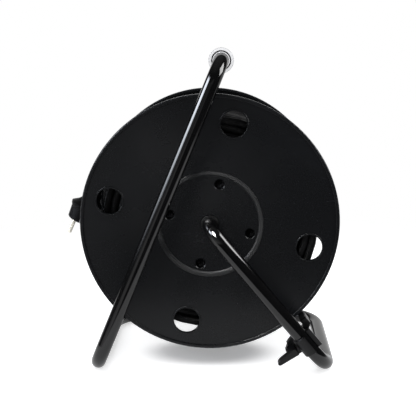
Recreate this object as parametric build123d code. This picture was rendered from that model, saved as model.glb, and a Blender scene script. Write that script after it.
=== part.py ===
from build123d import *

import math
import os

# Extension cord reel: a plastic drum with a panel of four covered sockets, turning on the end of
# one bent steel tube, which is also the stand, the carrying handle and the axle.
#
# Everything is drawn round the drum's own centre: the drum turns about the Y axis, y = 0 is the
# rear face of the rear flange, +Y points to the socket side and +Z is up. The last step moves all
# of it so that the origin is on the floor, under the middle of the object's box.

# ---- Drum ----
FLANGE_R = 145.0
PLATE_T = 3.0
DRUM_GAP = 158.0                        # between the two plates
RIM_W = 4.2                             # thickened rim, measured inwards from the edge
RIM_PROUD = 1.4
RIM_DEPTH = 3.0                         # how far the rim stands in over the winding
BARREL_R = 78.0
BARREL_T = 3.0
CENTRE_R = 56.0                         # shallow recess round the hub
CENTRE_DEPTH = 1.2
CENTRE_BEAD_W = 4.0
CENTRE_BEAD_PROUD = 0.8
HOLE_COUNT = 4
HOLE_ANGLE = 76.7
FINGER_HOLE_R = 14.6
FINGER_HOLE_PITCH = 114.6
FINGER_BEAD_W = 1.8
FINGER_BEAD_PROUD = 1.0
SCREW_PITCH = 46.2
SCREW_WELL_R = 5.6
SCREW_WELL_DEPTH = 11.0
SCREW_WELL_CHAMFER = 0.7
SCREW_HEAD_R = 4.2
SCREW_R = 2.0
WEB_Y = 86.0
WEB_T = 4.0

FRONT_Y = PLATE_T + DRUM_GAP            # inner face of the front plate
FRONT_FACE_Y = FRONT_Y + PLATE_T

# ---- Axle and bushes ----
TUBE_R = 8.2
TUBE_WALL = 1.6
FIT = 0.05                              # radial running clearance
BUSH_WALL = 2.4
REAR_BUSH_Y = 3.2                       # it sits back inside the hub
BUSH_R = TUBE_R + FIT + BUSH_WALL
AXLE_END_Y = 100.0

# ---- Tube frame ----
AXIS_HEIGHT = 167.0
LEG_Y = -27.0
FAR_Y = 170.0
FOOT_Z = TUBE_R - AXIS_HEIGHT
RIGHT_FOOT_X = 132.4
RIGHT_FAR_X = 140.0
LEFT_FOOT_X = -127.7
LEFT_FAR_X = -124.0
HANDLE_X = 12.2
HANDLE_Z = 180.0
HANDLE_END_Y = 148.0
HUB_BEND_R = 20.0
FOOT_BEND_R = 28.0
FAR_BEND_R = 46.0
TOP_BEND_R = 26.0

# ---- Handle grip ----
GRIP_R = 13.7
GRIP_START_Y = 6.0
GRIP_END_Y = 138.0
GRIP_RING_W = 5.0

# ---- Sockets ----
SOCKET_COUNT = 4
SOCKET_PITCH = 40.0
SOCKET_ANGLE = 45.0
PANEL_R = 73.0
PANEL_T = 4.0
PANEL_Y = FRONT_FACE_Y + PANEL_T        # outer face of the panel
RECESS_R = 19.7
RECESS_DEPTH = 17.5
CUP_R = 21.7
CUP_LIP_R = 23.5
CUP_LIP_T = 1.6
PIN_SPACING = 19.0
PIN_R = 2.4
PIN_L = 19.0
PIN_STEM_R = 2.0                        # the part inside the plug
PIN_NECK = 0.3                          # the stem shows for this much
LID_R = 25.4
LID_T = 6.0
LID_SKIN = 2.0
HINGE_OFFSET = 28.6                     # from the socket's centre to the lid's hinge
HINGE_PIN_R = 1.5
KNUCKLE_R = 3.1
KNUCKLE_L = 15.0
EAR_L = 5.0
LID_Y = PANEL_Y + CUP_LIP_T + 0.4
PANEL_SCREW_PITCH = 60.0
HINGE_Y = LID_Y + 2.6

# ---- Cord inlet and wiring, inside the barrel ----
GLAND_R = 8.0
GLAND_ANGLE = 250.0
GLAND_Y = 142.0
BLOCK_ANGLE = 225
WIRE_R = 1.5

# ---- Thermal cut-out ----
BUTTON_R = 5.5
BUTTON_PROUD = 3.6
BUTTON_TRAVEL = 2.5
STEM_R = 2.5
SWITCH_SIDE = 24.0
SWITCH_TOP_Y = 158.0

# ---- Crank knob ----
KNOB_PITCH = 116.0
KNOB_ANGLE = 20.0
KNOB_R = 12.0
KNOB_L = 28.0
SPINDLE_R = 5.0

# ---- Brake: a clip on the right leg, and a lever that presses a shoe on the rear flange's rim ----
CLIP_START = 157.0                      # distances along the leg from the drum's axis
CLIP_END = 179.6
CLIP_R = 11.6
CLIP_SHIFT = 1.6                        # its outside is off centre, thicker on the drum's side
CLIP_SLOT = 66.0                        # width of its open side, degrees
CLIP_SLOT_AT = 52.0                     # from the side that faces backwards
FINGER_REACH = 39.0
BRAKE_PIVOT = 165.0
BRAKE_PIN_R = 3.0
LEVER_FROM_Y = -13.6
LEVER_TO_Y = -5.6
PAD_T = 2.2
PAD_FACE = 147.0                        # distance along the leg with the brake off

# ---- Cord ----
CORD_D = 8.8
CORD_LAYERS = 5
COIL_R = BARREL_R + CORD_LAYERS * CORD_D
LAP_R = COIL_R + 0.65 * CORD_D          # last part turn, lying on top of the winding
PLUG_Y = 27.0
PLUG_FACE = (-146.0, -1.6)              # x, z of the middle of the plug's face
PLUG_HEADING = (-0.40, -0.9165)         # the way the pins point
PLUG_R = 18.0
PLUG_SHOULDER_R = 20.3
PLUG_FLAT = 14.0                        # from its middle to the flat on the winding's side
PLUG_DEPTH = 19.0
PLUG_BACK = 62.0                        # face to the end of the strain relief

BASE = (Align.CENTER, Align.CENTER, Align.MIN)

os.makedirs("parts", exist_ok=True)

parts = {}


def disc(radius, y_from, y_to, x=0.0, z=0.0):
    """A cylinder along Y."""
    plane = Plane(origin=(x, y_from, z), z_dir=(0, 1, 0))
    return extrude(plane * Circle(radius), y_to - y_from)


def ring(outer, inner, y_from, y_to, x=0.0, z=0.0):
    return disc(outer, y_from, y_to, x, z) - disc(inner, y_from, y_to, x, z)


def turned(*profile, x=0.0, z=0.0):
    """A solid of revolution about Y from (radius, y) points."""
    face = make_face(Polyline(*profile, close=True))
    return Location((x, 0, z)) * revolve(face, Axis.Y)


def polar(radius, degrees):
    turn = math.radians(degrees)
    return radius * math.cos(turn), radius * math.sin(turn)


def around(radius, count, start):
    """Evenly spaced x, z places on a circle round the drum's axis."""
    return [polar(radius, start + 360 / count * n) for n in range(count)]


def group(shapes):
    """Separate solids that share one node."""
    return Compound(children=[solid for shape in shapes for solid in shape.solids()])


def tube(path, radius):
    section = Plane(origin=path @ 0, z_dir=path % 0) * Circle(radius)
    return sweep(section, path=path)


# ---- Tube frame ----

leg_run = math.hypot(RIGHT_FOOT_X, FOOT_Z)
leg_dir = Vector(RIGHT_FOOT_X / leg_run, 0, FOOT_Z / leg_run)
leg_side = Vector(-leg_dir.Z, 0, leg_dir.X)         # across the leg, towards the upper right


def frame_path():
    corners = [
        (0, AXLE_END_Y, 0),
        (0, LEG_Y, 0),
        (RIGHT_FOOT_X, LEG_Y, FOOT_Z),
        (RIGHT_FAR_X, FAR_Y, FOOT_Z),
        (LEFT_FAR_X, FAR_Y, FOOT_Z),
        (LEFT_FOOT_X, LEG_Y, FOOT_Z),
        (HANDLE_X, LEG_Y, HANDLE_Z),
        (HANDLE_X, HANDLE_END_Y, HANDLE_Z),
    ]
    bends = [HUB_BEND_R, FOOT_BEND_R, FAR_BEND_R, FAR_BEND_R, FOOT_BEND_R, TOP_BEND_R]
    return FilletPolyline(*corners, radius=bends)


def make_frame():
    path = frame_path()
    section = Circle(TUBE_R) - Circle(TUBE_R - TUBE_WALL)
    parts["frame_tube"] = sweep(Plane(origin=path @ 0, z_dir=path % 0) * section, path=path)


def make_handle():
    def at_handle(*profile):
        return turned(*profile, x=HANDLE_X, z=HANDLE_Z)

    bore = TUBE_R + FIT
    ring_start = GRIP_START_Y - GRIP_RING_W
    parts["handle_grip"] = at_handle(
        (bore, GRIP_START_Y), (GRIP_R - 1.2, GRIP_START_Y), (GRIP_R - 0.6, GRIP_START_Y + 1),
        (GRIP_R - 0.6, GRIP_END_Y - 1.5), (GRIP_R - 2.1, GRIP_END_Y), (bore, GRIP_END_Y),
    )
    parts["grip_end_ring"] = at_handle(
        (bore, ring_start + 0.4), (bore + 0.4, ring_start), (9.2, ring_start), (9.4, ring_start + 0.2),
        (9.4, ring_start + 2.4), (10.7, ring_start + 2.4), (10.7, ring_start + 0.2), (10.9, ring_start),
        (GRIP_R - 0.6, ring_start), (GRIP_R, ring_start + 0.6), (GRIP_R, GRIP_START_Y),
        (bore, GRIP_START_Y),
    )
    inside = TUBE_R - TUBE_WALL
    parts["handle_end_cap"] = at_handle(
        (0, HANDLE_END_Y - 12), (inside - 0.6, HANDLE_END_Y - 12), (inside, HANDLE_END_Y - 10),
        (inside, HANDLE_END_Y), (TUBE_R, HANDLE_END_Y), (TUBE_R, HANDLE_END_Y + 1.2),
        (TUBE_R - 1.6, HANDLE_END_Y + 2.8), (0, HANDLE_END_Y + 3.4),
    )


def make_axle_fastening():
    """What keeps the drum on the tube's free end."""
    inside = TUBE_R - TUBE_WALL
    parts["axle_insert"] = ring(inside, 3.05, AXLE_END_Y - 18, AXLE_END_Y)
    parts["axle_washer"] = ring(13.5, 3.2, AXLE_END_Y, AXLE_END_Y + 2)
    head = extrude(Plane(origin=(0, AXLE_END_Y + 2, 0), z_dir=(0, 1, 0)) * RegularPolygon(5.8, 6), 4)
    parts["axle_bolt"] = head + disc(3.0, AXLE_END_Y - 15, AXLE_END_Y + 2)
    parts["thrust_ring"] = turned(
        (TUBE_R, 0.8), (9.2, 0.8), (9.6, 1.2), (9.6, REAR_BUSH_Y - 0.3), (TUBE_R, REAR_BUSH_Y - 0.3),
    )


# ---- Drum ----


def flange_blank(hub_r, inner_y):
    """The shared outline of both flanges: a flat plate with a rounded, thickened rim. The rim's
    outer bead faces away from the winding."""
    plate = ring(FLANGE_R - 2, hub_r, 0, PLATE_T)
    rim = ring(FLANGE_R, FLANGE_R - RIM_W, -RIM_PROUD, inner_y)
    rim = fillet(rim.edges(), 1.2)
    return plate + rim


def make_rear_flange():
    body = flange_blank(10.0, PLATE_T + RIM_DEPTH)
    body += turned(
        (BUSH_R, CENTRE_DEPTH), (20, CENTRE_DEPTH), (20, 16), (BUSH_R, 16),
    )
    body += ring(CENTRE_R + 3, 12, 0.5, PLATE_T + CENTRE_DEPTH)
    body -= turned(
        (0, -2), (CENTRE_R, -2), (CENTRE_R, 0), (CENTRE_R - 1.2, CENTRE_DEPTH), (0, CENTRE_DEPTH),
    )
    bead = ring(CENTRE_R + CENTRE_BEAD_W, CENTRE_R, -CENTRE_BEAD_PROUD, PLATE_T)
    body += fillet(bead.edges(), 0.5)
    body -= disc(BUSH_R, -3, 20)
    mouth_r = SCREW_WELL_R + SCREW_WELL_CHAMFER
    for x, z in around(SCREW_PITCH, HOLE_COUNT, HOLE_ANGLE):
        body += disc(SCREW_WELL_R + 2, CENTRE_DEPTH, SCREW_WELL_DEPTH + 3, x, z)
        body -= turned(
            (0, 0), (mouth_r, 0), (mouth_r, CENTRE_DEPTH),
            (SCREW_WELL_R, CENTRE_DEPTH + SCREW_WELL_CHAMFER),
            (SCREW_WELL_R, SCREW_WELL_DEPTH), (0, SCREW_WELL_DEPTH), x=x, z=z,
        )
        body -= disc(SCREW_R + 0.3, 0, SCREW_WELL_DEPTH + 4, x, z)
    for x, z in around(FINGER_HOLE_PITCH, HOLE_COUNT, HOLE_ANGLE):
        bead = ring(FINGER_HOLE_R + FINGER_BEAD_W, FINGER_HOLE_R, -FINGER_BEAD_PROUD, PLATE_T, x, z)
        body -= disc(FINGER_HOLE_R, -3, 10, x, z)
        body += fillet(bead.edges(), 0.5)
    parts["rear_flange"] = body


def make_drum_core():
    web_from = WEB_Y - WEB_T / 2
    web_to = WEB_Y + WEB_T / 2
    body = ring(BARREL_R, BARREL_R - BARREL_T, PLATE_T, FRONT_Y)
    body += disc(BARREL_R - 1, web_from, web_to)
    body += disc(20, WEB_Y - 8, WEB_Y + 8)
    body -= disc(BUSH_R, 0, 120)
    for x, z in around(SCREW_PITCH, HOLE_COUNT, HOLE_ANGLE):
        body += disc(6.0, SCREW_WELL_DEPTH + 3, WEB_Y, x, z)
        body -= disc(SCREW_R + FIT, 0, 50, x, z)
    body -= radial_cylinder(GLAND_R, BARREL_R - 12, BARREL_R + 4)
    parts["drum_core"] = body


def make_front_flange():
    blank = flange_blank(66.0, PLATE_T + RIM_DEPTH)
    body = mirror(blank, about=Plane.XZ)
    parts["front_flange"] = Location((0, FRONT_FACE_Y, 0)) * body


def make_bushes():
    bore = TUBE_R + FIT
    parts["rear_bush"] = turned(
        (bore, REAR_BUSH_Y), (BUSH_R - 0.5, REAR_BUSH_Y), (BUSH_R, REAR_BUSH_Y + 0.5), (BUSH_R, 15),
        (bore, 15),
    )
    parts["inner_bush"] = turned(
        (bore, WEB_Y - 8), (BUSH_R, WEB_Y - 8), (BUSH_R, WEB_Y + 8), (15, WEB_Y + 8),
        (15, AXLE_END_Y - 0.4), (bore, AXLE_END_Y - 0.4),
    )


def make_flange_screws():
    screws = []
    for x, z in around(SCREW_PITCH, HOLE_COUNT, HOLE_ANGLE):
        head = disc(SCREW_HEAD_R, SCREW_WELL_DEPTH - 3, SCREW_WELL_DEPTH, x, z)
        cross = Box(5.0, 3.0, 1.1) + Box(1.1, 3.0, 5.0)
        head -= Location((x, SCREW_WELL_DEPTH - 3, z)) * cross
        screws.append(head + disc(SCREW_R, SCREW_WELL_DEPTH - 1, 44, x, z))
    parts["flange_screws"] = group(screws)


# ---- Socket side ----


def socket_frames():
    """One local frame for each socket: its origin on the panel face, Z outwards, X outwards from
    the drum's axis, so the lid's hinge lies along its Y."""
    frames = []
    for n in range(SOCKET_COUNT):
        x, z = polar(SOCKET_PITCH, SOCKET_ANGLE + 90 * n)
        outwards = Vector(x, 0, z).normalized()
        frames.append(Plane(origin=(x, PANEL_Y, z), x_dir=outwards, z_dir=(0, 1, 0)))
    return frames


def upright(radius, low, high, x=0.0, y=0.0):
    """A cylinder along a local frame's Z."""
    return Location((x, y, low)) * Cylinder(radius, high - low, align=BASE)


def make_panel():
    body = turned(
        (0, FRONT_FACE_Y), (PANEL_R, FRONT_FACE_Y), (PANEL_R, PANEL_Y - 1.2), (PANEL_R - 1.2, PANEL_Y),
        (0, PANEL_Y),
    )
    body += ring(65.5, 62.5, FRONT_FACE_Y - 10, FRONT_FACE_Y + 1)
    body -= disc(BUTTON_R + FIT, 100, 200)
    body += fillet(ring(BUTTON_R + 3, BUTTON_R + FIT, PANEL_Y - 2, PANEL_Y + 1.4).edges(), 0.5)
    ear_z = HINGE_Y - PANEL_Y
    for frame in socket_frames():
        body -= frame * upright(CUP_R + 0.1, -10, 10)
        for side in (-1, 1):
            ear_y = side * (KNUCKLE_L / 2 + 0.3 + EAR_L / 2)
            ear = Location((HINGE_OFFSET, ear_y, ear_z)) * cross_rod(KNUCKLE_R, EAR_L)
            ear += Location((HINGE_OFFSET, ear_y, ear_z / 2 - 0.5)) * Box(2 * KNUCKLE_R, EAR_L, ear_z + 1)
            ear -= Location((HINGE_OFFSET, ear_y, ear_z)) * cross_rod(HINGE_PIN_R + FIT, 20)
            body += frame * ear
    for x, z in around(PANEL_SCREW_PITCH, SOCKET_COUNT, 0):
        body -= disc(4.4, PANEL_Y - 2.2, PANEL_Y + 1, x, z)
        body -= disc(1.9, FRONT_FACE_Y - 2, PANEL_Y, x, z)
    parts["socket_panel"] = body


def cross_rod(radius, length):
    """A rod along a local frame's Y, centred."""
    return Rotation(90, 0, 0) * Cylinder(radius, length)


def make_panel_screws():
    screws = []
    for x, z in around(PANEL_SCREW_PITCH, SOCKET_COUNT, 0):
        head = fillet(disc(4.2, PANEL_Y - 2.2, PANEL_Y + 0.4, x, z).edges(), 0.35)
        cross = Box(5.0, 2.4, 1.0) + Box(1.0, 2.4, 5.0)
        head -= Location((x, PANEL_Y + 0.4, z)) * cross
        screws.append(head + disc(1.8, FRONT_FACE_Y - 2, PANEL_Y - 2, x, z))
    parts["panel_screws"] = group(screws)


def make_sockets():
    contacts = []
    earths = []
    floor = CUP_LIP_T - RECESS_DEPTH
    for number, frame in enumerate(socket_frames(), start=1):
        cup = upright(CUP_R, floor - 3, 1) + upright(CUP_LIP_R, 0, CUP_LIP_T)
        cup += Location((0, 0, floor - 12)) * Box(14, 36, 20)
        cup -= upright(RECESS_R, floor, CUP_LIP_T + 1)
        for side in (-1, 1):
            rib = Location((0, side * (RECESS_R - 0.6), floor / 2 + CUP_LIP_T / 2)) * Box(6, 3, -floor - 3)
            cup += rib & upright(RECESS_R, floor, CUP_LIP_T)
            slot = Location((side * (RECESS_R - 1.2), 0, floor / 2 + 1)) * Box(2.6, 5.4, -floor + 4)
            cup -= slot
            strip = Location((side * (RECESS_R - 0.9), 0, floor / 2)) * Box(1.2, 5.0, -floor)
            earths.append(frame * strip)
            pin_y = side * PIN_SPACING / 2
            cup -= upright(2.7, floor - 30, floor + 1, 0, pin_y)
            cup -= upright(3.6, floor - 23, floor - 2.5, 0, pin_y)
            sleeve = upright(3.55, floor - 20, floor - 2.5, 0, pin_y)
            sleeve -= upright(2.5, floor - 21, floor, 0, pin_y)
            contacts.append(frame * sleeve)
        parts[f"socket_{number}"] = frame * cup
    parts["contact_sleeves"] = group(contacts)
    parts["earth_strips"] = group(earths)


def make_lids():
    """Sprung covers, hinged at the panel's edge."""
    low = LID_Y - PANEL_Y
    high = low + LID_T
    hinge_z = HINGE_Y - PANEL_Y
    pins = []
    for number, frame in enumerate(socket_frames(), start=1):
        cap = upright(LID_R, low, high)
        cap = fillet(cap.edges().group_by(Axis.Z)[-1], 2.2)
        cap -= upright(LID_R - LID_SKIN, low - 1, high - LID_SKIN)
        cap += Location((-LID_R - 0.2, 0, low + 1.6)) * Box(5, 14, 3.2)
        arm = Location((HINGE_OFFSET - 2.6, 0, hinge_z)) * Box(5.2, KNUCKLE_L, 2.6)
        lug = Location((HINGE_OFFSET, 0, hinge_z)) * cross_rod(KNUCKLE_R, KNUCKLE_L)
        lid = cap + arm + lug
        lid -= Location((HINGE_OFFSET, 0, hinge_z)) * cross_rod(HINGE_PIN_R + FIT, 2 * KNUCKLE_L)
        lid -= Location((HINGE_OFFSET + 1.2, 0, hinge_z + 1.2)) * Box(3.6, 4.6, 3.6)
        parts[f"lid_{number}"] = frame * lid
        pin_length = KNUCKLE_L + 2 * EAR_L + 0.6
        pins.append(frame * (Location((HINGE_OFFSET, 0, hinge_z)) * cross_rod(HINGE_PIN_R, pin_length)))
    parts["hinge_pins"] = group(pins)


def make_cut_out():
    """Thermal cut-out: its body sits behind the panel, its reset button in the panel's middle."""
    middle_y = SWITCH_TOP_Y - SWITCH_SIDE / 2 - 8
    body = Location((0, middle_y, 0)) * Box(SWITCH_SIDE, SWITCH_SIDE + 16, SWITCH_SIDE)
    body = fillet(body.edges().filter_by(Axis.Y), 2)
    body -= disc(STEM_R + FIT, SWITCH_TOP_Y - 20, SWITCH_TOP_Y + 1)
    parts["thermal_cut_out"] = body
    top = PANEL_Y + BUTTON_PROUD
    button = disc(BUTTON_R, PANEL_Y - 2.5, top)
    button = fillet(button.edges().group_by(Axis.Y)[-1], 1.2)
    button += disc(STEM_R, SWITCH_TOP_Y - 12, PANEL_Y - 2)
    parts["reset_button"] = button
    seat = PANEL_Y - 2.5 - SWITCH_TOP_Y
    coil = Helix(pitch=1.9, height=seat - 1.2, radius=3.9)
    wire = Plane(origin=coil @ 0, z_dir=coil % 0) * Circle(0.45)
    spring = sweep(wire, path=coil, is_frenet=True)
    stand = Plane(origin=(0, SWITCH_TOP_Y + 0.6, 0), z_dir=(0, 1, 0))
    parts["reset_spring"] = stand * spring


def make_wiring():
    """Terminal block and the three insulated wires that run past the backs of the sockets."""
    x, z = polar(52, BLOCK_ANGLE)
    block = Location((x, 104, z)) * Box(20, 14, 26)
    for n in (-1, 0, 1):
        block -= disc(2.4, 109, 112, x, z + 8 * n)
    parts["terminal_block"] = block
    wires = {"live_wire": 38.0, "neutral_wire": 32.0, "earth_wire": 26.0}
    for n, (name, radius) in enumerate(wires.items()):
        level = 115.5 + 3.6 * n
        start_z = z + 8 * (n - 1)
        route = [(x, 109, start_z), (x, level, start_z)]
        for degrees in range(BLOCK_ANGLE + 60, BLOCK_ANGLE + 331, 45):
            px, pz = polar(radius, degrees)
            route.append((px, level, pz))
        path = FilletPolyline(*route, radius=[3.0] + [8.0] * (len(route) - 3))
        parts[name] = tube(path, WIRE_R)


def radial_cylinder(radius, r_from, r_to):
    """A cylinder along the gland's own radius."""
    x, z = polar(1.0, GLAND_ANGLE)
    plane = Plane(origin=(x * r_from, GLAND_Y, z * r_from), z_dir=(x, 0, z))
    return extrude(plane * Circle(radius), r_to - r_from)


def make_gland():
    body = radial_cylinder(GLAND_R, BARREL_R - 16, BARREL_R - 1)
    body += radial_cylinder(GLAND_R + 3, BARREL_R - 9, BARREL_R - 4)
    parts["cord_gland"] = body - radial_cylinder(CORD_D / 2, BARREL_R - 20, BARREL_R + 2)


def make_crank():
    x, z = polar(KNOB_PITCH, KNOB_ANGLE)
    base = FRONT_FACE_Y
    top = base + 3.5 + KNOB_L
    spindle_top = top - 4
    parts["crank_spindle"] = Location((x, 0, z)) * revolve(make_face(Polyline(
        (0, base), (11, base), (11, base + 1.5), (9.5, base + 3), (SPINDLE_R, base + 3),
        (SPINDLE_R, spindle_top), (0, spindle_top), close=True)), Axis.Y)
    bore = SPINDLE_R + FIT
    parts["crank_knob"] = Location((x, 0, z)) * revolve(make_face(Polyline(
        (bore, base + 3.5), (KNOB_R - 2.5, base + 3.5), (KNOB_R - 1, base + 5), (KNOB_R - 1.8, base + 14),
        (KNOB_R, top - 4), (KNOB_R - 1.5, top - 0.8), (KNOB_R - 4, top), (0, top),
        (0, spindle_top + 0.4), (bore, spindle_top + 0.4), close=True)), Axis.Y)


# ---- Brake ----


def leg_frame():
    """Local frame on the right leg: X across it towards the upper right, Y towards the drum's
    front, Z down along the leg, all measured from the drum's axis."""
    return Plane(origin=(0, LEG_Y, 0), x_dir=leg_side, z_dir=-leg_dir)


def leg_box(x_range, y_range, along):
    """A block in the leg's frame; its y range is measured from the rear flange's face."""
    size = [high - low for low, high in (x_range, y_range, along)]
    middle = [(low + high) / 2 for low, high in (x_range, y_range, along)]
    return Location((middle[0], middle[1] - LEG_Y, -middle[2])) * Box(*size)


def leg_cylinder(radius, y_from, y_to, across, along):
    plane = Plane(origin=(across, y_from - LEG_Y, -along), z_dir=(0, 1, 0))
    return extrude(plane * Circle(radius), y_to - y_from)


def lever_shape(y_from, y_to, *points):
    """A flat shape across the leg, from its (across, along) points."""
    plane = Plane(origin=(0, y_from - LEG_Y, 0), x_dir=(1, 0, 0), z_dir=(0, 1, 0))
    outline = Polyline(*[(across, along) for across, along in points], close=True)
    return extrude(plane * make_face(outline), y_to - y_from)


def make_brake():
    frame = leg_frame()
    clip = upright(CLIP_R, -CLIP_END, -CLIP_START, CLIP_SHIFT, 0)
    clip = fillet(clip.edges(), 1.0)
    clip += leg_cylinder(6.5, LEG_Y, LEVER_FROM_Y - 0.3, 0, BRAKE_PIVOT)
    clip -= leg_cylinder(BRAKE_PIN_R, LEG_Y, LEVER_TO_Y, 0, BRAKE_PIVOT)
    clip -= upright(TUBE_R + 0.02, -CLIP_END - 1, -CLIP_START + 1)
    wide, half = polar(40, CLIP_SLOT / 2)
    mouth = make_face(Polyline((0, 0), (wide, half), (60, 0), (wide, -half), close=True))
    mouth = Rotation(0, 0, CLIP_SLOT_AT - 90) * mouth
    clip -= Location((0, 0, -CLIP_END - 2)) * extrude(mouth, 40)
    parts["brake_clip"] = frame * clip

    lever = lever_shape(
        LEVER_FROM_Y, LEVER_TO_Y,
        (8.6, 149.2), (16.6, 149.2), (16.6, 157), (11, 161), (9, 170), (2, 176.5), (-10, 178),
        (-17, 177.5), (-26.4, 172), (-26.4, 168), (-25.4, 164.6), (-19.6, 161), (-19.1, 158.9),
        (-11.4, 156.9), (3, 156.5), (8.6, 154))
    lever += lever_shape(
        LEG_Y - 6, LEG_Y + 4,
        (-13.5, 163.4), (-34.5, 163.6), (1.4 - FINGER_REACH, 164.6), (-FINGER_REACH, 166),
        (0.5 - FINGER_REACH, 167.4), (2.1 - FINGER_REACH, 168.4), (-13.5, 171.4))
    lever += leg_box((-23, -13.5), (LEG_Y + 3, LEVER_FROM_Y + 1), (163.6, 170))
    lever += leg_box((8.6, 16.6), (LEVER_TO_Y - 1, 7), (PAD_FACE + PAD_T, 156.5))
    lever -= leg_cylinder(BRAKE_PIN_R + FIT, LEVER_FROM_Y - 1, LEVER_TO_Y + 1, 0, BRAKE_PIVOT)
    parts["brake_lever"] = frame * lever
    pad = leg_box((9, 16.2), (LEVER_FROM_Y + 1, 6.6), (PAD_FACE, PAD_FACE + PAD_T))
    parts["brake_pad"] = frame * pad
    pin = leg_cylinder(BRAKE_PIN_R, LEG_Y + TUBE_R + 0.4, LEVER_TO_Y + 0.3, 0, BRAKE_PIVOT)
    pin += leg_cylinder(5.2, LEVER_TO_Y + 0.3, LEVER_TO_Y + 2, 0, BRAKE_PIVOT)
    parts["brake_pin"] = frame * pin


# ---- Cord ----


def lead_route():
    """The end of the cord: off the winding, a little way over it, then straight to the plug."""
    rise = [(96, COIL_R - 0.5 * CORD_D, 9.0), (108, LAP_R, 11.5), (120, LAP_R + 0.4, 17.0),
            (131, LAP_R + 1.2, 22.5), (141, LAP_R + 4.2, PLUG_Y)]
    route = []
    for degrees, radius, y in rise:
        x, z = polar(radius, degrees)
        route.append((x, y, z))
    back = plug_frame().origin
    ahead = back - plug_frame().z_dir * 14
    route += [(ahead.X, ahead.Y, ahead.Z), (back.X, back.Y, back.Z)]
    return route


def plug_frame():
    """Local frame of the plug: its origin at the strain relief's end, Z along the pins."""
    hx, hz = PLUG_HEADING
    face = Vector(PLUG_FACE[0], PLUG_Y, PLUG_FACE[1])
    heading = Vector(hx, 0, hz).normalized()
    return Plane(origin=face - heading * PLUG_BACK, x_dir=(0, 1, 0), z_dir=heading)


def corner_radii(route):
    """Each arc is as large as its two runs allow."""
    radii = []
    for before, at, after in zip(route, route[1:], route[2:]):
        first = Vector(*at) - Vector(*before)
        second = Vector(*after) - Vector(*at)
        turn = math.radians(first.get_angle(second))
        radii.append(0.45 * min(first.length, second.length) / math.tan(turn / 2))
    return radii


def make_cord():
    coil = ring(COIL_R, BARREL_R + 0.2, PLATE_T + 0.4, FRONT_Y - 0.4)
    parts["cord_winding"] = coil
    route = lead_route()
    radii = corner_radii(route)
    path = FilletPolyline(*route, radius=radii)
    lead = tube(path, CORD_D / 2)
    parts["cord_lead"] = lead
    section = math.pi * CORD_D ** 2 / 4
    print("cord lead: length", round(path.length, 1), "radii", [round(r) for r in radii])
    print("cord lead: volume over section times length", round(lead.volume / section / path.length, 4))


def make_plug():
    frame = plug_frame()
    shoulder = PLUG_BACK - PLUG_DEPTH
    profile = make_face(Polyline(
        (0, 26), (8.4, 26), (9.6, 27.5), (9.6, 34), (PLUG_SHOULDER_R - 6, shoulder - 4),
        (PLUG_SHOULDER_R, shoulder), (PLUG_SHOULDER_R - 0.4, shoulder + 2.4),
        (PLUG_SHOULDER_R - 1.6, shoulder + 5), (PLUG_R, PLUG_BACK - 1.2), (PLUG_R - 1.2, PLUG_BACK),
        (0, PLUG_BACK), close=True))
    body = Rotation(90, 0, 0) * revolve(profile, Axis.Y)
    body &= Location((0, PLUG_FLAT - 40, 0)) * Box(80, 80, 200)
    for side in (-1, 1):
        notch = Location((side * (PLUG_R - 0.6), 0, PLUG_BACK - 8)) * Box(3.6, 6, 20)
        body -= notch
        body -= upright(PIN_STEM_R, PLUG_BACK - 9, PLUG_BACK + 1, 0, side * PIN_SPACING / 2)
    parts["plug_body"] = frame * body
    pins = []
    strips = []
    for side in (-1, 1):
        pin_y = side * PIN_SPACING / 2
        pin = upright(PIN_R, PLUG_BACK + PIN_NECK, PLUG_BACK + PIN_L, 0, pin_y)
        pin = fillet(pin.edges().group_by(Axis.Z)[-1], 1.4)
        pins.append(frame * (pin + upright(PIN_STEM_R, PLUG_BACK - 9, PLUG_BACK + 1, 0, pin_y)))
        strip = Location((side * (PLUG_R - 1.6), 0, PLUG_BACK - 8)) * Box(1.0, 5, 15)
        strips.append(frame * strip)
    parts["plug_pins"] = group(pins)
    parts["plug_earth_strips"] = group(strips)
    sleeve = revolve(make_face(Polyline(
        (0, 0), (5.4, 0), (6.8, 14), (7.6, 26), (0, 26), close=True)), Axis.Y)
    sleeve = Rotation(90, 0, 0) * sleeve
    for n in range(4):
        sleeve -= upright(20, 4 + 5 * n, 5.6 + 5 * n) - upright(5.2, 0, 26)
    parts["plug_strain_relief"] = frame * sleeve


make_frame()
make_handle()
make_axle_fastening()
make_rear_flange()
make_drum_core()
make_front_flange()
make_bushes()
make_flange_screws()
make_panel()
make_panel_screws()
make_sockets()
make_lids()
make_cut_out()
make_wiring()
make_gland()
make_crank()
make_brake()
make_cord()
make_plug()

CORD_PARTS = ("cord_winding", "cord_lead", "plug_body", "plug_pins", "plug_earth_strips",
              "plug_strain_relief")
boxes = [shape.bounding_box() for name, shape in parts.items() if name not in CORD_PARTS]
middle_x = (min(box.min.X for box in boxes) + max(box.max.X for box in boxes)) / 2
middle_y = (min(box.min.Y for box in boxes) + max(box.max.Y for box in boxes)) / 2
to_floor = Location((-middle_x, -middle_y, AXIS_HEIGHT))
print("drum axis at x", round(-middle_x, 3), "rear flange's face at y", round(-middle_y, 3))
for name, shape in parts.items():
    export_step(to_floor * shape, f"parts/{name}.step")
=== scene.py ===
import math

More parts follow.
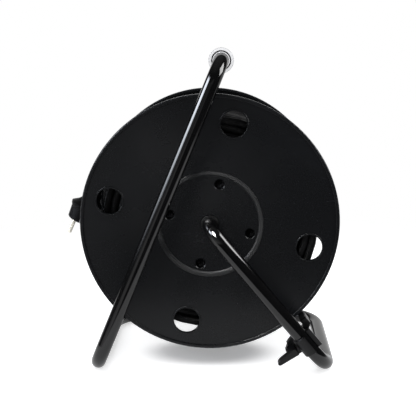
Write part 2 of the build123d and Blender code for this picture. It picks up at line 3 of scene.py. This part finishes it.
import bmesh
import bpy
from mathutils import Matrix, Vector


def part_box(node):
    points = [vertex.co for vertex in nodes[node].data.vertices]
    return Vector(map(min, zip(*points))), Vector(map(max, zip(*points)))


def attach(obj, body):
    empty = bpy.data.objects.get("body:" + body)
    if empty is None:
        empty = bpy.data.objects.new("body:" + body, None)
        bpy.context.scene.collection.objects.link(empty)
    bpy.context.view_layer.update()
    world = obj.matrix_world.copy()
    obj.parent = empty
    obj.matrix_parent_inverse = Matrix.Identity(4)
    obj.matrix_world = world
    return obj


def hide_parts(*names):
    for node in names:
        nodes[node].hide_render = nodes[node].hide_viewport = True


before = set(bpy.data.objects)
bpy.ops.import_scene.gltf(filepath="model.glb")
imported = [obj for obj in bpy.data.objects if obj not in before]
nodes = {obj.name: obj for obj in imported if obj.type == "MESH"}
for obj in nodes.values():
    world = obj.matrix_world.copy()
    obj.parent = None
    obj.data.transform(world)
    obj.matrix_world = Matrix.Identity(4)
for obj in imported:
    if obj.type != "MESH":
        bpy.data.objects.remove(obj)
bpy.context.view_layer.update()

scene = bpy.context.scene

# Lengths below are millimetres from the drum's axis, with y = 0 on the rear flange's face, +Y
# towards the sockets and +Z up. at() turns them into the row frame's metres.
PLATE_T = 3.0
core_low, core_high = (Vector(corner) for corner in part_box("drum_core"))
DRUM_ORIGIN = Vector((
    (core_low.x + core_high.x) / 2,
    core_low.y - PLATE_T / 1000,
    (core_low.z + core_high.z) / 2,
))


def at(x, y, z):
    return DRUM_ORIGIN + Vector((x, y, z)) / 1000


def polar(radius, degrees):
    turn = math.radians(degrees)
    return radius * math.cos(turn), radius * math.sin(turn)


# ---- Camera ----

CAMERA_AT = at(3.6, -889.0, 185.8)
CAMERA_PITCH = 10.65
CAMERA_YAW = 0.36
SENSOR = 36.0
FOCAL_PIXELS = 814.0
FRAME_PIXELS = 416.0

camera_data = bpy.data.cameras.new("camera")
camera_data.sensor_width = SENSOR
camera_data.lens = FOCAL_PIXELS / FRAME_PIXELS * SENSOR
camera_data.clip_end = 50
camera = bpy.data.objects.new("camera", camera_data)
scene.collection.objects.link(camera)
camera.location = CAMERA_AT
camera.rotation_euler = (math.radians(90 - CAMERA_PITCH), 0, math.radians(CAMERA_YAW))
scene.camera = camera

# ---- Cord ----

CORD_D = 8.8
BARREL_R = 78.0
LAYERS = 5
COIL_R = BARREL_R + LAYERS * CORD_D
LAP_R = COIL_R + 0.65 * CORD_D
WALL_LOW_Y = 7.8
WALL_HIGH_Y = 156.2
GLAND_ANGLE = 250.0
GLAND_Y = 142.0
LEAVES_ANGLE = 96.0
FIRST_TURNS = 15.0
ALL_TURNS = 80 - (GLAND_ANGLE - LEAVES_ANGLE) / 360
STEPS_PER_TURN = 14
CLIMB = 0.25                            # part of a turn spent going up to the next layer
START_DEPTH = 4.0                       # how far below the barrel's face the first turn starts
WAVER = 0.12                            # how far the turns stray sideways
WAVER_PER_DEGREE = 0.37
PLUG_Y = 27.0
PLUG_FACE = (-146.0, -1.6)
PLUG_HEADING = (-0.40, -0.9165)
PLUG_BACK = 62.0
LEAD_BEFORE_PLUG = 14.0
LEAD_IN_PLUG = 6.0


def smooth(t):
    t = min(max(t, 0.0), 1.0)
    return t * t * (3 - 2 * t)


def winding_points():
    """The whole winding, from the gland through every layer to where the cord leaves it."""
    later = (ALL_TURNS - FIRST_TURNS) / (LAYERS - 1)
    # A quadratic spline runs inside its control points, so they stand out by this much.
    spread = 1 / math.cos(math.pi / STEPS_PER_TURN)
    points = [(*polar(BARREL_R - START_DEPTH, GLAND_ANGLE), GLAND_Y)]
    steps = round(ALL_TURNS * STEPS_PER_TURN)
    for step in range(steps):
        turn = ALL_TURNS * step / steps
        if turn < FIRST_TURNS:
            layer, done, turns = 0, turn, FIRST_TURNS
        else:
            layer = 1 + int((turn - FIRST_TURNS) / later)
            done, turns = turn - FIRST_TURNS - (layer - 1) * later, later
        inner = BARREL_R + CORD_D / 2 + layer * CORD_D
        climb = smooth((done - (turns - CLIMB)) / CLIMB) if layer < LAYERS - 1 else 0
        radius = (inner + climb * CORD_D) * spread
        along = min(done / (turns - CLIMB), 1.0)
        high = GLAND_Y if layer == 0 else WALL_HIGH_Y
        start, end = (high, WALL_LOW_Y) if layer % 2 == 0 else (WALL_LOW_Y, high)
        angle = GLAND_ANGLE + 360 * turn
        waver = WAVER * math.sin(WAVER_PER_DEGREE * math.radians(angle))
        x, z = polar(radius, angle)
        points.append((x, z, start + (end - start) * along + waver))
    return [(x, y, z) for x, z, y in points]


def lead_points():
    """The cord's free end, over the winding and straight into the plug."""
    rise = [(LEAVES_ANGLE, COIL_R - 0.5 * CORD_D, 9.0), (108, LAP_R, 11.5), (120, LAP_R + 0.4, 17.0),
            (131, LAP_R + 1.2, 22.5), (141, LAP_R + 4.2, PLUG_Y)]
    points = []
    for degrees, radius, y in rise:
        x, z = polar(radius, degrees)
        points.append((x, y, z))
    heading = Vector((PLUG_HEADING[0], 0, PLUG_HEADING[1])).normalized()
    back = Vector((PLUG_FACE[0], PLUG_Y, PLUG_FACE[1])) - heading * PLUG_BACK
    points.append(tuple(back - heading * LEAD_BEFORE_PLUG))
    points.append(tuple(back + heading * LEAD_IN_PLUG))
    return points


def spline_curve(name, points, radius, resolution=3, sides=4):
    """A round cord along a quadratic NURBS through mm points."""
    curve = bpy.data.curves.new(name, "CURVE")
    curve.dimensions = "3D"
    spline = curve.splines.new("NURBS")
    spline.points.add(len(points) - 1)
    # The thickness sits on the points, because Blender adds a point's radius to the curve's box.
    for point, place in zip(spline.points, points):
        point.co = (*at(*place), 1)
        point.radius = radius / 1000
    spline.order_u = 3
    spline.use_endpoint_u = True
    curve.resolution_u = resolution
    curve.bevel_depth = 1.0
    curve.bevel_resolution = sides
    curve.use_fill_caps = True
    piece = bpy.data.objects.new(name, curve)
    scene.collection.objects.link(piece)
    return piece


cord = spline_curve("rubber_cord", winding_points() + lead_points(), CORD_D / 2)
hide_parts("cord_winding", "cord_lead")
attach(cord, "drum")

# ---- Handle end ring ----

HANDLE_X = 12.2
HANDLE_Z = 180.0
TUBE_R = 8.2
TUBE_CLEARANCE = 0.05
GRIP_R = 13.7
GRIP_START_Y = 6.0
RING_START_Y = 1.0
RING_ROUND = 0.35
GROOVE_FROM_R = 9.4
GROOVE_TO_R = 10.7
GROOVE_BOTTOM_Y = 3.6
GROOVE_SHADE_DEPTH = 0.5                        # depth from which the groove's inside is painted dark as shade
GROOVE_MARGIN = 0.2
SHARP_ANGLE = 50


def lathe(name, profile, x, z, segments=160):
    """A closed solid of revolution along Y from (radius, y) points."""
    mesh = bmesh.new()
    rings = []
    for step in range(segments):
        cos, sin = polar(1.0, 360 * step / segments)
        rings.append([mesh.verts.new(at(x + r * cos, y, z + r * sin)) for r, y in profile])
    for here, there in zip(rings, rings[1:] + rings[:1]):
        for n in range(len(profile)):
            m = (n + 1) % len(profile)
            mesh.faces.new((here[n], here[m], there[m], there[n]))
    bmesh.ops.recalc_face_normals(mesh, faces=mesh.faces)
    data = bpy.data.meshes.new(name)
    mesh.to_mesh(data)
    mesh.free()
    data.polygons.foreach_set("use_smooth", [True] * len(data.polygons))
    data.set_sharp_from_angle(angle=math.radians(SHARP_ANGLE))
    piece = bpy.data.objects.new(name, data)
    scene.collection.objects.link(piece)
    return piece


def rounded(profile, radius, steps=4):
    """The profile with each corner turned into a small arc."""
    points = []
    for n, corner in enumerate(profile):
        here = Vector(corner)
        sides = []
        for other in (profile[n - 1], profile[(n + 1) % len(profile)]):
            away = Vector(other) - here
            sides.append(here + away.normalized() * min(radius, 0.4 * away.length))
        for step in range(steps + 1):
            t = step / steps
            arc = sides[0] * (1 - t) ** 2 + here * 2 * t * (1 - t) + sides[1] * t ** 2
            points.append(tuple(arc))
    return points


def make_end_ring():
    """The light ring at the grip's end, with a groove cut into its face whose inside is painted dark
    as shade (material 1).
    """
    bore = TUBE_R + TUBE_CLEARANCE
    profile = [
        (bore, RING_START_Y), (GROOVE_FROM_R, RING_START_Y), (GROOVE_FROM_R, GROOVE_BOTTOM_Y),
        (GROOVE_TO_R, GROOVE_BOTTOM_Y), (GROOVE_TO_R, RING_START_Y), (GRIP_R, RING_START_Y),
        (GRIP_R, GRIP_START_Y), (bore, GRIP_START_Y),
    ]
    ring = lathe("grip_collar", rounded(profile, RING_ROUND), HANDLE_X, HANDLE_Z)
    # Faces deep inside the groove get the dark material: painted shade in the groove.
    groove_low = at(0, RING_START_Y + GROOVE_SHADE_DEPTH, 0).y
    middle = at(HANDLE_X, 0, HANDLE_Z)
    for face in ring.data.polygons:
        radius = 1000 * math.hypot(face.center.x - middle.x, face.center.z - middle.z)
        in_groove = GROOVE_FROM_R - GROOVE_MARGIN < radius < GROOVE_TO_R + GROOVE_MARGIN
        if in_groove and face.center.y > groove_low:
            face.material_index = 1
    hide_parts("grip_end_ring")
    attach(ring, "frame")
    return ring


end_ring = make_end_ring()


# ---- Materials ----

class Surface:
    """A procedural material on object coordinates, which are the row frame's metres."""

    def __init__(self, name, color, roughness, metallic=0.0, **sockets):
        self.material = bpy.data.materials.new(name)
        self.material.use_nodes = True
        self.nodes = self.material.node_tree.nodes
        self.links = self.material.node_tree.links
        self.shader = self.nodes["Principled BSDF"]
        self.shader.inputs["Base Color"].default_value = (*color, 1)
        self.shader.inputs["Roughness"].default_value = roughness
        self.shader.inputs["Metallic"].default_value = metallic
        for socket, value in sockets.items():
            self.shader.inputs[socket.replace("_", " ")].default_value = value
        self.place = self.nodes.new("ShaderNodeTexCoord").outputs["Object"]
        self.normal = None

    def scaled(self, scale):
        """The coordinates stretched by (x, y, z)."""
        mapping = self.nodes.new("ShaderNodeMapping")
        mapping.inputs["Scale"].default_value = scale
        self.links.new(self.place, mapping.inputs["Vector"])
        return mapping.outputs["Vector"]

    def noise(self, scale, detail=3.0, stretch=(1, 1, 1), distortion=0.0):
        node = self.nodes.new("ShaderNodeTexNoise")
        node.inputs["Scale"].default_value = scale
        node.inputs["Detail"].default_value = detail
        node.inputs["Distortion"].default_value = distortion
        self.links.new(self.scaled(stretch), node.inputs["Vector"])
        return node.outputs["Fac"]

    def remap(self, value, low, high, to_low=0.0, to_high=1.0):
        node = self.nodes.new("ShaderNodeMapRange")
        node.interpolation_type = "SMOOTHSTEP"
        self.links.new(value, node.inputs["Value"])
        limits = {"From Min": low, "From Max": high, "To Min": to_low, "To Max": to_high}
        for socket, number in limits.items():
            node.inputs[socket].default_value = number
        return node.outputs["Result"]

    def math(self, operation, first, second):
        node = self.nodes.new("ShaderNodeMath")
        node.operation = operation
        for socket, value in zip(node.inputs, (first, second)):
            if isinstance(value, (int, float)):
                socket.default_value = value
            else:
                self.links.new(value, socket)
        return node.outputs["Value"]

    def tint(self, factor, color):
        """Mixes color in wherever factor is up."""
        node = self.nodes.new("ShaderNodeMix")
        node.data_type = "RGBA"
        self.links.new(factor, node.inputs["Factor"])
        base = self.shader.inputs["Base Color"]
        if base.is_linked:
            self.links.new(base.links[0].from_socket, node.inputs["A"])
        else:
            node.inputs["A"].default_value = base.default_value
        node.inputs["B"].default_value = (*color, 1)
        self.links.new(node.outputs["Result"], base)

    def vary_roughness(self, factor, rougher):
        """Roughness goes from its own value to the other one with factor."""
        base = self.shader.inputs["Roughness"]
        node = self.nodes.new("ShaderNodeMapRange")
        self.links.new(factor, node.inputs["Value"])
        if base.is_linked:
            self.links.new(base.links[0].from_socket, node.inputs["To Min"])
        else:
            node.inputs["To Min"].default_value = base.default_value
        node.inputs["To Max"].default_value = rougher
        self.links.new(node.outputs["Result"], base)

    def bump(self, height, strength, distance):
        node = self.nodes.new("ShaderNodeBump")
        node.inputs["Strength"].default_value = strength
        node.inputs["Distance"].default_value = distance
        self.links.new(height, node.inputs["Height"])
        if self.normal is not None:
            self.links.new(self.normal, node.inputs["Normal"])
        self.normal = node.outputs["Normal"]
        self.links.new(self.normal, self.shader.inputs["Normal"])

    def radius(self, x=0.0, z=0.0):
        """Distance in millimetres from a line along Y, which is the drum's axis or the one at x, z."""
        shift = self.nodes.new("ShaderNodeVectorMath")
        shift.operation = "SUBTRACT"
        self.links.new(self.place, shift.inputs[0])
        shift.inputs[1].default_value = at(x, 0, z)
        flat = self.nodes.new("ShaderNodeVectorMath")
        flat.operation = "MULTIPLY"
        self.links.new(shift.outputs["Vector"], flat.inputs[0])
        flat.inputs[1].default_value = (1000, 0, 1000)
        length = self.nodes.new("ShaderNodeVectorMath")
        length.operation = "LENGTH"
        self.links.new(flat.outputs["Vector"], length.inputs[0])
        return length.outputs["Value"]


def brighter(color, factor):
    return tuple(min(channel * factor, 1.0) for channel in color)


def moulded(name, color, roughness, grain=0.10, wear=0.10, **sockets):
    """Moulded plastic: a fine eroded texture, faint flow marks, hairline scuffs."""
    s = Surface(name, color, roughness, **sockets)
    s.tint(s.remap(s.noise(9, 4, distortion=0.6), 0.35, 0.7), brighter(color, 1.35))
    s.tint(s.remap(s.noise(520, 2), 0.45, 0.75, 0, 0.5), brighter(color, 1.6))
    scuffs = s.remap(s.noise(26, 6, (1, 1, 9)), 0.63, 0.72, 0, 0.35)
    s.tint(scuffs, brighter(color, 3.0))
    s.vary_roughness(s.remap(s.noise(22, 5), 0.3, 0.75), roughness + wear)
    s.bump(s.noise(1500, 2), grain, 0.0004)
    s.bump(s.noise(14, 3), 0.05, 0.002)
    return s


# Radii between which the raised ring's look fades in and out, and the rim's painted highlight fades
# in.
BEAD_IN = (54, 56)
BEAD_OUT = (60.5, 58.5)
RIM_HIGHLIGHT = (142.6, 144.6)


def drum_plastic():
    """The drum's plastic: duller on the raised ring round the hub, paler along the rim with a painted
    highlight.
    """
    color = (0.0042, 0.0045, 0.0052)
    s = moulded("drum_plastic", color, 0.25, 0.05, 0.05, Specular_IOR_Level=0.20)
    radius = s.radius()
    bead = s.math("MULTIPLY", s.remap(radius, *BEAD_IN), s.remap(radius, *BEAD_OUT))
    s.vary_roughness(bead, 0.62)
    # A painted highlight: the colour turns paler in patches along the rim's outer edge.
    rim = s.remap(radius, *RIM_HIGHLIGHT)
    s.tint(s.math("MULTIPLY", rim, s.remap(s.noise(60, 5), 0.35, 0.7)), brighter(color, 3.2))
    return s.material


def powder_coat():
    color = (0.0012, 0.0012, 0.0014)
    s = Surface("black_powder_coat", color, 0.07)
    s.tint(s.remap(s.noise(30, 4), 0.4, 0.7), brighter(color, 1.6))
    s.vary_roughness(s.remap(s.noise(18, 5), 0.35, 0.75), 0.13)
    s.bump(s.noise(260, 2), 0.04, 0.0002)
    return s.material


def cord_rubber():
    color = (0.0018, 0.0018, 0.0020)
    s = Surface("cord_rubber", color, 0.42, Specular_IOR_Level=0.08)
    s.tint(s.remap(s.noise(35, 5), 0.4, 0.72), brighter(color, 2.0))
    s.tint(s.remap(s.noise(300, 3), 0.55, 0.75, 0, 0.45), (0.012, 0.012, 0.012))
    s.vary_roughness(s.remap(s.noise(50, 4), 0.3, 0.75), 0.68)
    s.bump(s.noise(900, 3), 0.16, 0.0004)
    return s.material


def metal(name, color, roughness):
    s = Surface(name, color, roughness, metallic=1.0)
    s.tint(s.remap(s.noise(60, 5), 0.35, 0.75), brighter(color, 0.78))
    s.tint(s.remap(s.noise(700, 2), 0.55, 0.75, 0, 0.35), brighter(color, 0.6))
    s.vary_roughness(s.remap(s.noise(120, 4), 0.3, 0.75), roughness + 0.15)
    s.bump(s.noise(2400, 2), 0.03, 0.0001)
    return s.material


def nickel():
    """Plated pins, drawn along their length."""
    along = (1, 1, 0.2)
    color = (0.93, 0.90, 0.80)
    s = Surface("nickel", color, 0.36, metallic=0.4)
    s.tint(s.remap(s.noise(60, 5), 0.35, 0.75), brighter(color, 0.92))
    s.vary_roughness(s.remap(s.noise(120, 4, along), 0.3, 0.75), 0.48)
    s.bump(s.noise(1200, 2, along), 0.02, 0.0001)
    return s.material


def soft_grip():
    color = (0.56, 0.57, 0.59)
    s = Surface("grey_grip", color, 0.42)
    s.tint(s.remap(s.noise(30, 4), 0.4, 0.72), brighter(color, 0.88))
    s.tint(s.remap(s.noise(260, 3), 0.60, 0.78, 0, 0.35), (0.34, 0.35, 0.36))
    s.vary_roughness(s.remap(s.noise(40, 4), 0.3, 0.75), 0.58)
    s.bump(s.noise(1100, 2), 0.14, 0.0004)
    return s.material


def plain_plastic(name, color, roughness, *texture, **sockets):
    return moulded(name, color, roughness, *texture, **sockets).material


def collar_plastic():
    """White plastic, with a painted shade that turns it dark at the grip's outer edge."""
    color = (0.86, 0.86, 0.87)
    s = Surface("white_collar", color, 0.45)
    s.tint(s.remap(s.noise(45, 4), 0.4, 0.75), brighter(color, 0.92))
    radius = s.radius(HANDLE_X, HANDLE_Z)
    # Painted shade: the face turns dark grey towards the grip's outer edge.
    s.tint(s.remap(radius, GRIP_R - 0.6, GRIP_R - 0.1), (0.26, 0.26, 0.27))
    s.vary_roughness(s.remap(s.noise(60, 4), 0.3, 0.75), 0.55)
    s.bump(s.noise(160, 2), 0.03, 0.0002)
    return s.material


looks = {
    "frame_tube": powder_coat(),
    "rear_flange": drum_plastic(),
    "plug_body": plain_plastic(
        "plug_rubber", (0.0028, 0.0028, 0.0032), 0.36, 0.16, Specular_IOR_Level=0.05),
    "plug_pins": nickel(),
    "handle_grip": soft_grip(),
    "axle_bolt": metal("zinc_steel", (0.56, 0.56, 0.57), 0.30),
    "flange_screws": metal("black_screw_steel", (0.006, 0.006, 0.0066), 0.40),
    "contact_sleeves": metal("brass", (0.72, 0.53, 0.24), 0.28),
    "rear_bush": plain_plastic(
        "dark_nylon", (0.0010, 0.0010, 0.0012), 0.45, Specular_IOR_Level=0.10),
    "socket_panel": plain_plastic("panel_plastic", (0.0075, 0.0078, 0.0088), 0.40),
    "lid_1": plain_plastic("lid_plastic", (0.0130, 0.0134, 0.0150), 0.38),
    "crank_knob": plain_plastic(
        "handle_plastic", (0.0022, 0.0022, 0.0026), 0.30, Specular_IOR_Level=0.25),
    "reset_button": plain_plastic("button_red", (0.42, 0.015, 0.012), 0.28),
    "terminal_block": plain_plastic("off_white_nylon", (0.60, 0.59, 0.54), 0.45),
    "live_wire": plain_plastic("brown_insulation", (0.15, 0.055, 0.02), 0.38),
    "neutral_wire": plain_plastic("blue_insulation", (0.02, 0.10, 0.48), 0.38),
    "earth_wire": plain_plastic("green_insulation", (0.12, 0.42, 0.04), 0.38),
}
same_as = {
    "rear_flange": ("front_flange", "drum_core"),
    "plug_body": ("plug_strain_relief", "cord_gland", "brake_pad"),
    "handle_grip": ("grip_end_ring",),
    "axle_bolt": (
        "axle_insert", "axle_washer", "hinge_pins", "reset_spring", "plug_earth_strips"),
    "flange_screws": ("panel_screws", "brake_pin"),
    "contact_sleeves": ("earth_strips",),
    "rear_bush": ("inner_bush", "handle_end_cap", "thrust_ring"),
    "socket_panel": ("socket_1", "socket_2", "socket_3", "socket_4", "thermal_cut_out"),
    "lid_1": ("lid_2", "lid_3", "lid_4"),
    "crank_knob": ("crank_spindle", "brake_clip", "brake_lever"),
}
for leader, material in looks.items():
    for name in (leader, *same_as.get(leader, ())):
        mesh = nodes[name].data
        mesh.materials.clear()
        mesh.materials.append(material)
cord.data.materials.append(cord_rubber())
end_ring.data.materials.append(collar_plastic())
# The groove's painted shade.
end_ring.data.materials.append(looks["rear_bush"])


# ---- Floor, backdrop and light ----

class Tree:
    """Short calls for the floor's and the world's node trees."""

    def __init__(self, tree):
        self.tree = tree
        tree.nodes.clear()

    def add(self, kind, inputs=(), **settings):
        node = self.tree.nodes.new(kind)
        for name, value in settings.items():
            setattr(node, name, value)
        for socket, value in dict(inputs).items():
            if hasattr(value, "is_output"):
                self.tree.links.new(value, node.inputs[socket])
            else:
                node.inputs[socket].default_value = value
        return node

    def fade(self, value, low, high, to_low=0.0, to_high=1.0):
        inputs = {
            "Value": value, "From Min": low, "From Max": high, "To Min": to_low, "To Max": to_high}
        node = self.add("ShaderNodeMapRange", inputs, interpolation_type="SMOOTHSTEP")
        return node.outputs["Result"]

    def calc(self, operation, first, second):
        return self.add("ShaderNodeMath", {0: first, 1: second}, operation=operation).outputs["Value"]

    def vector(self, operation, first, second):
        inputs = {0: first, 1: second}
        return self.add("ShaderNodeVectorMath", inputs, operation=operation).outputs["Vector"]

    def length(self, vector):
        return self.add("ShaderNodeVectorMath", {0: vector}, operation="LENGTH").outputs["Value"]

    def emission(self, strength):
        return self.add("ShaderNodeEmission", {"Strength": strength}).outputs["Emission"]

    def background(self, strength, color):
        inputs = {"Color": (*color, 1), "Strength": strength}
        return self.add("ShaderNodeBackground", inputs).outputs["Background"]

    def both(self, first, second):
        return self.add("ShaderNodeAddShader", {0: first, 1: second}).outputs["Shader"]

    def mix(self, factor, first, second):
        return self.add("ShaderNodeMixShader", {0: factor, 1: first, 2: second}).outputs["Shader"]


FLOOR_HALF = 12.0                       # metres, as everything below
FLOOR_DROP = 0.0004
FLOOR_COLOR = (0.86, 0.86, 0.865)
SHADE_AT = (0, -0.03, 0)
SHADE_HALF = (0.088, 0.054, 1)
SHADE_EDGE = (0.50, 1.05)               # where the painted shade fades out, as parts of SHADE_HALF
SHADE_GLOW = 0.11                       # the floor's own glow in the painted shade
FLOOR_GLOW = 0.60                       # and outside it
WHITE_FROM = 0.32
WHITE_TO = 0.80
FRONT_DARK_Y = (-0.26, -0.34)           # where the floor's reflection turns dark in front
FRONT_DARK_X = (-0.32, -0.14, 0.45, 1.0)
RIGHT_DARK_X = (0.34, 0.56)             # and at the right, but not behind the reel
RIGHT_DARK_Y = (0.06, -0.06)
REFLECTION_LOSS = 0.35
DARK_GLOW = 0.04


def floor_material():
    """A pale floor that turns plain white further out, with a soft shade under the drum that is partly
    painted: the floor glows less there.

    Glossy surfaces mirror it dimmer, and almost black in front of the reel and at its right.
    """
    material = bpy.data.materials.new("pale_floor")
    material.use_nodes = True
    tree = Tree(material.node_tree)
    place = tree.add("ShaderNodeTexCoord").outputs["Object"]
    axes = tree.add("ShaderNodeSeparateXYZ", {"Vector": place}).outputs
    dull = tree.add("ShaderNodeBsdfDiffuse", {"Color": (*FLOOR_COLOR, 1)}).outputs["BSDF"]
    from_shade = tree.vector("DIVIDE", tree.vector("SUBTRACT", place, SHADE_AT), SHADE_HALF)
    # Painted shade: the floor's glow drops from FLOOR_GLOW to SHADE_GLOW in an ellipse under the drum,
    # over the real shade.
    glow_with_painted_shade = tree.emission(tree.fade(tree.length(from_shade), *SHADE_EDGE, SHADE_GLOW, FLOOR_GLOW))
    far_out = tree.fade(tree.length(place), WHITE_FROM, WHITE_TO)
    seen = tree.mix(far_out, tree.both(dull, glow_with_painted_shade), tree.emission(1.0))

    sideways = tree.fade(axes["X"], *FRONT_DARK_X)
    in_front = tree.calc("MULTIPLY", tree.fade(axes["Y"], *FRONT_DARK_Y), sideways)
    not_behind = tree.fade(axes["Y"], *RIGHT_DARK_Y)
    at_right = tree.calc("MULTIPLY", tree.fade(axes["X"], *RIGHT_DARK_X), not_behind)
    dimmed = tree.calc("MAXIMUM", tree.calc("MAXIMUM", in_front, at_right), REFLECTION_LOSS)
    mirrored = tree.mix(dimmed, seen, tree.emission(DARK_GLOW))
    glossy = tree.add("ShaderNodeLightPath").outputs["Is Glossy Ray"]
    tree.add("ShaderNodeOutputMaterial", {"Surface": tree.mix(glossy, seen, mirrored)})
    return material


floor_mesh = bpy.data.meshes.new("floor")
corners = [(-FLOOR_HALF, -FLOOR_HALF, 0), (FLOOR_HALF, -FLOOR_HALF, 0),
           (FLOOR_HALF, FLOOR_HALF, 0), (-FLOOR_HALF, FLOOR_HALF, 0)]
floor_mesh.from_pydata(corners, [], [(0, 1, 2, 3)])
floor_mesh.materials.append(floor_material())
floor = bpy.data.objects.new("floor", floor_mesh)
scene.collection.objects.link(floor)
floor.location.z = -FLOOR_DROP

# The room that glossy surfaces mirror: white behind the reel, dim above and in front of it, one
# bright panel at its left and a faint one in front. Dull surfaces get even light instead, and the
# camera sees white.
PANEL_EDGE = 0.03
LID_FADE = (0.25, 0.10)                 # how far above a panel's top it ends and starts to fade
ROOM_COLOR = (0.8, 0.8, 0.8)
LEFT_COLOR = (0.86, 0.91, 1.0)
DIM_COLOR = (0.95, 0.97, 1.0)
EVEN_COLOR = (0.97, 0.98, 1.0)
WHITE = (1.0, 1.0, 1.0)

world = bpy.data.worlds.new("studio")
scene.world = world
world.use_nodes = True
tree = Tree(world.node_tree)
ray = tree.add("ShaderNodeLightPath").outputs
way = tree.add("ShaderNodeTexCoord").outputs["Generated"]
way = tree.add("ShaderNodeSeparateXYZ", {"Vector": way}).outputs


def panel(starts, ends, low, high, curve, radiance, color):
    """A panel between two bearings, in radians to the left of straight in front, that grows
    brighter upwards."""
    bearing = tree.calc(
        "ARCTAN2", tree.calc("MULTIPLY", way["X"], -1.0), tree.calc("MULTIPLY", way["Y"], -1.0))
    near = tree.fade(bearing, starts - PANEL_EDGE, starts + PANEL_EDGE)
    far = tree.fade(bearing, ends + 2 * PANEL_EDGE, ends - 2 * PANEL_EDGE)
    climb = tree.calc("SUBTRACT", way["Z"], low)
    climb = tree.calc("DIVIDE", tree.calc("MAXIMUM", climb, 0.0), high - low)
    climb = tree.calc("POWER", tree.calc("MINIMUM", climb, 1.0), curve)
    lid = tree.fade(way["Z"], high + LID_FADE[0], high + LID_FADE[1], 0.0, radiance)
    across = tree.calc("MULTIPLY", near, far)
    upward = tree.calc("MULTIPLY", climb, lid)
    return tree.background(tree.calc("MULTIPLY", across, upward), color)


behind = tree.fade(way["Y"], 0.70, 0.84, 0.06, 1.2)
above = tree.fade(way["Z"], 0.60, 1.0, 0.0, 0.15)
room = tree.background(tree.calc("ADD", behind, above), ROOM_COLOR)
room = tree.both(room, panel(1.03, 1.72, 0.13, 0.33, 1.5, 23.0, LEFT_COLOR))
room = tree.both(room, panel(-0.2, 1.0, -0.3, 0.10, 1.0, 0.20, DIM_COLOR))
lighting = tree.mix(ray["Is Glossy Ray"], tree.background(1.10, EVEN_COLOR), room)
surroundings = tree.mix(ray["Is Camera Ray"], lighting, tree.background(1.0, WHITE))
tree.add("ShaderNodeOutputWorld", {"Surface": surroundings})
scene.view_settings.view_transform = "Standard"


def softbox(name, place, size, radiance):
    """A soft light for dull surfaces; glossy ones see the room and the cards instead."""
    data = bpy.data.lights.new(name, "AREA")
    data.shape = "RECTANGLE"
    data.size, data.size_y = size
    data.energy = radiance * math.pi * size[0] * size[1]
    light = bpy.data.objects.new(name, data)
    scene.collection.objects.link(light)
    light.location = place
    direction = at(0, 0, 0) - Vector(place)
    light.rotation_euler = direction.to_track_quat("-Z", "Y").to_euler()
    light.visible_camera = False
    light.visible_glossy = False
    return light


def card(name, place, size, radiance, spread):
    """A bright card close by, which only shows as a reflection."""
    light = softbox(name, place, size, radiance)
    light.data.spread = math.radians(spread)
    light.visible_glossy = True
    light.visible_diffuse = False


softbox("key", (-1.30, -0.95, 0.60), (1.5, 1.2), 1.0)
softbox("top", (0, -0.1, 1.7), (1.6, 1.4), 1.0)
softbox("right", (1.25, -0.75, 0.75), (0.5, 0.9), 0.8)
card("hub_card", at(-92, -142, 130), (0.11, 0.11), 9.0, 36)
card("right_card", at(430, -85, 340), (0.30, 0.30), 11.0, 180)
